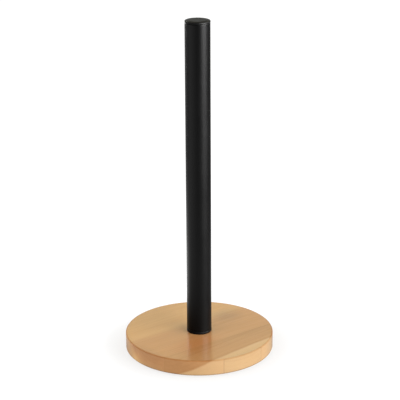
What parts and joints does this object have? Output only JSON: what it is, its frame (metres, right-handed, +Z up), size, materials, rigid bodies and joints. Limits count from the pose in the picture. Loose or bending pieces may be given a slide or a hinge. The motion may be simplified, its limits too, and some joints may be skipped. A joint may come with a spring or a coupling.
{
  "type": "paper towel holder",
  "caption": "Free-standing paper towel holder: a round edge-glued wooden base with an upright black tube post, closed by a plastic cap.",
  "frame": {"origin": "on the surface that the holder stands on, on the post's axis, at the middle of the base", "axes": "+Z up along the post; +X to the right and +Y away from a person in front; the glue lines and the grain run 37 degrees round from +X towards +Y"},
  "size_m": [0.15, 0.15, 0.341],
  "materials": {
    "wood_sapwood": "pale sapwood, satin clear lacquer",
    "wood_amber": "amber heartwood, satin clear lacquer",
    "wood_honey": "honey heartwood, satin clear lacquer",
    "wood_straw": "straw-coloured wood, satin clear lacquer",
    "powder_coat": "fine satin black powder coat on steel",
    "plug_plastic": "moulded black plastic, satin",
    "zinc_steel": "bright zinc plate",
    "pad_rubber": "matt black foam rubber"
  },
  "bodies": {
    "root": {"base_stave_1": "wood_sapwood", "base_stave_2": "wood_amber", "base_stave_3": "wood_honey", "base_stave_4": "wood_straw", "post_tube": "powder_coat", "top_cap": "plug_plastic", "bottom_insert": "plug_plastic", "insert_nut": "zinc_steel", "base_screw": "zinc_steel", "flat_washer": "zinc_steel", "spring_washer": "zinc_steel", "foot_pad_1": "pad_rubber", "foot_pad_2": "pad_rubber", "foot_pad_3": "pad_rubber", "foot_pad_4": "pad_rubber"}
  },
  "joints": []
}
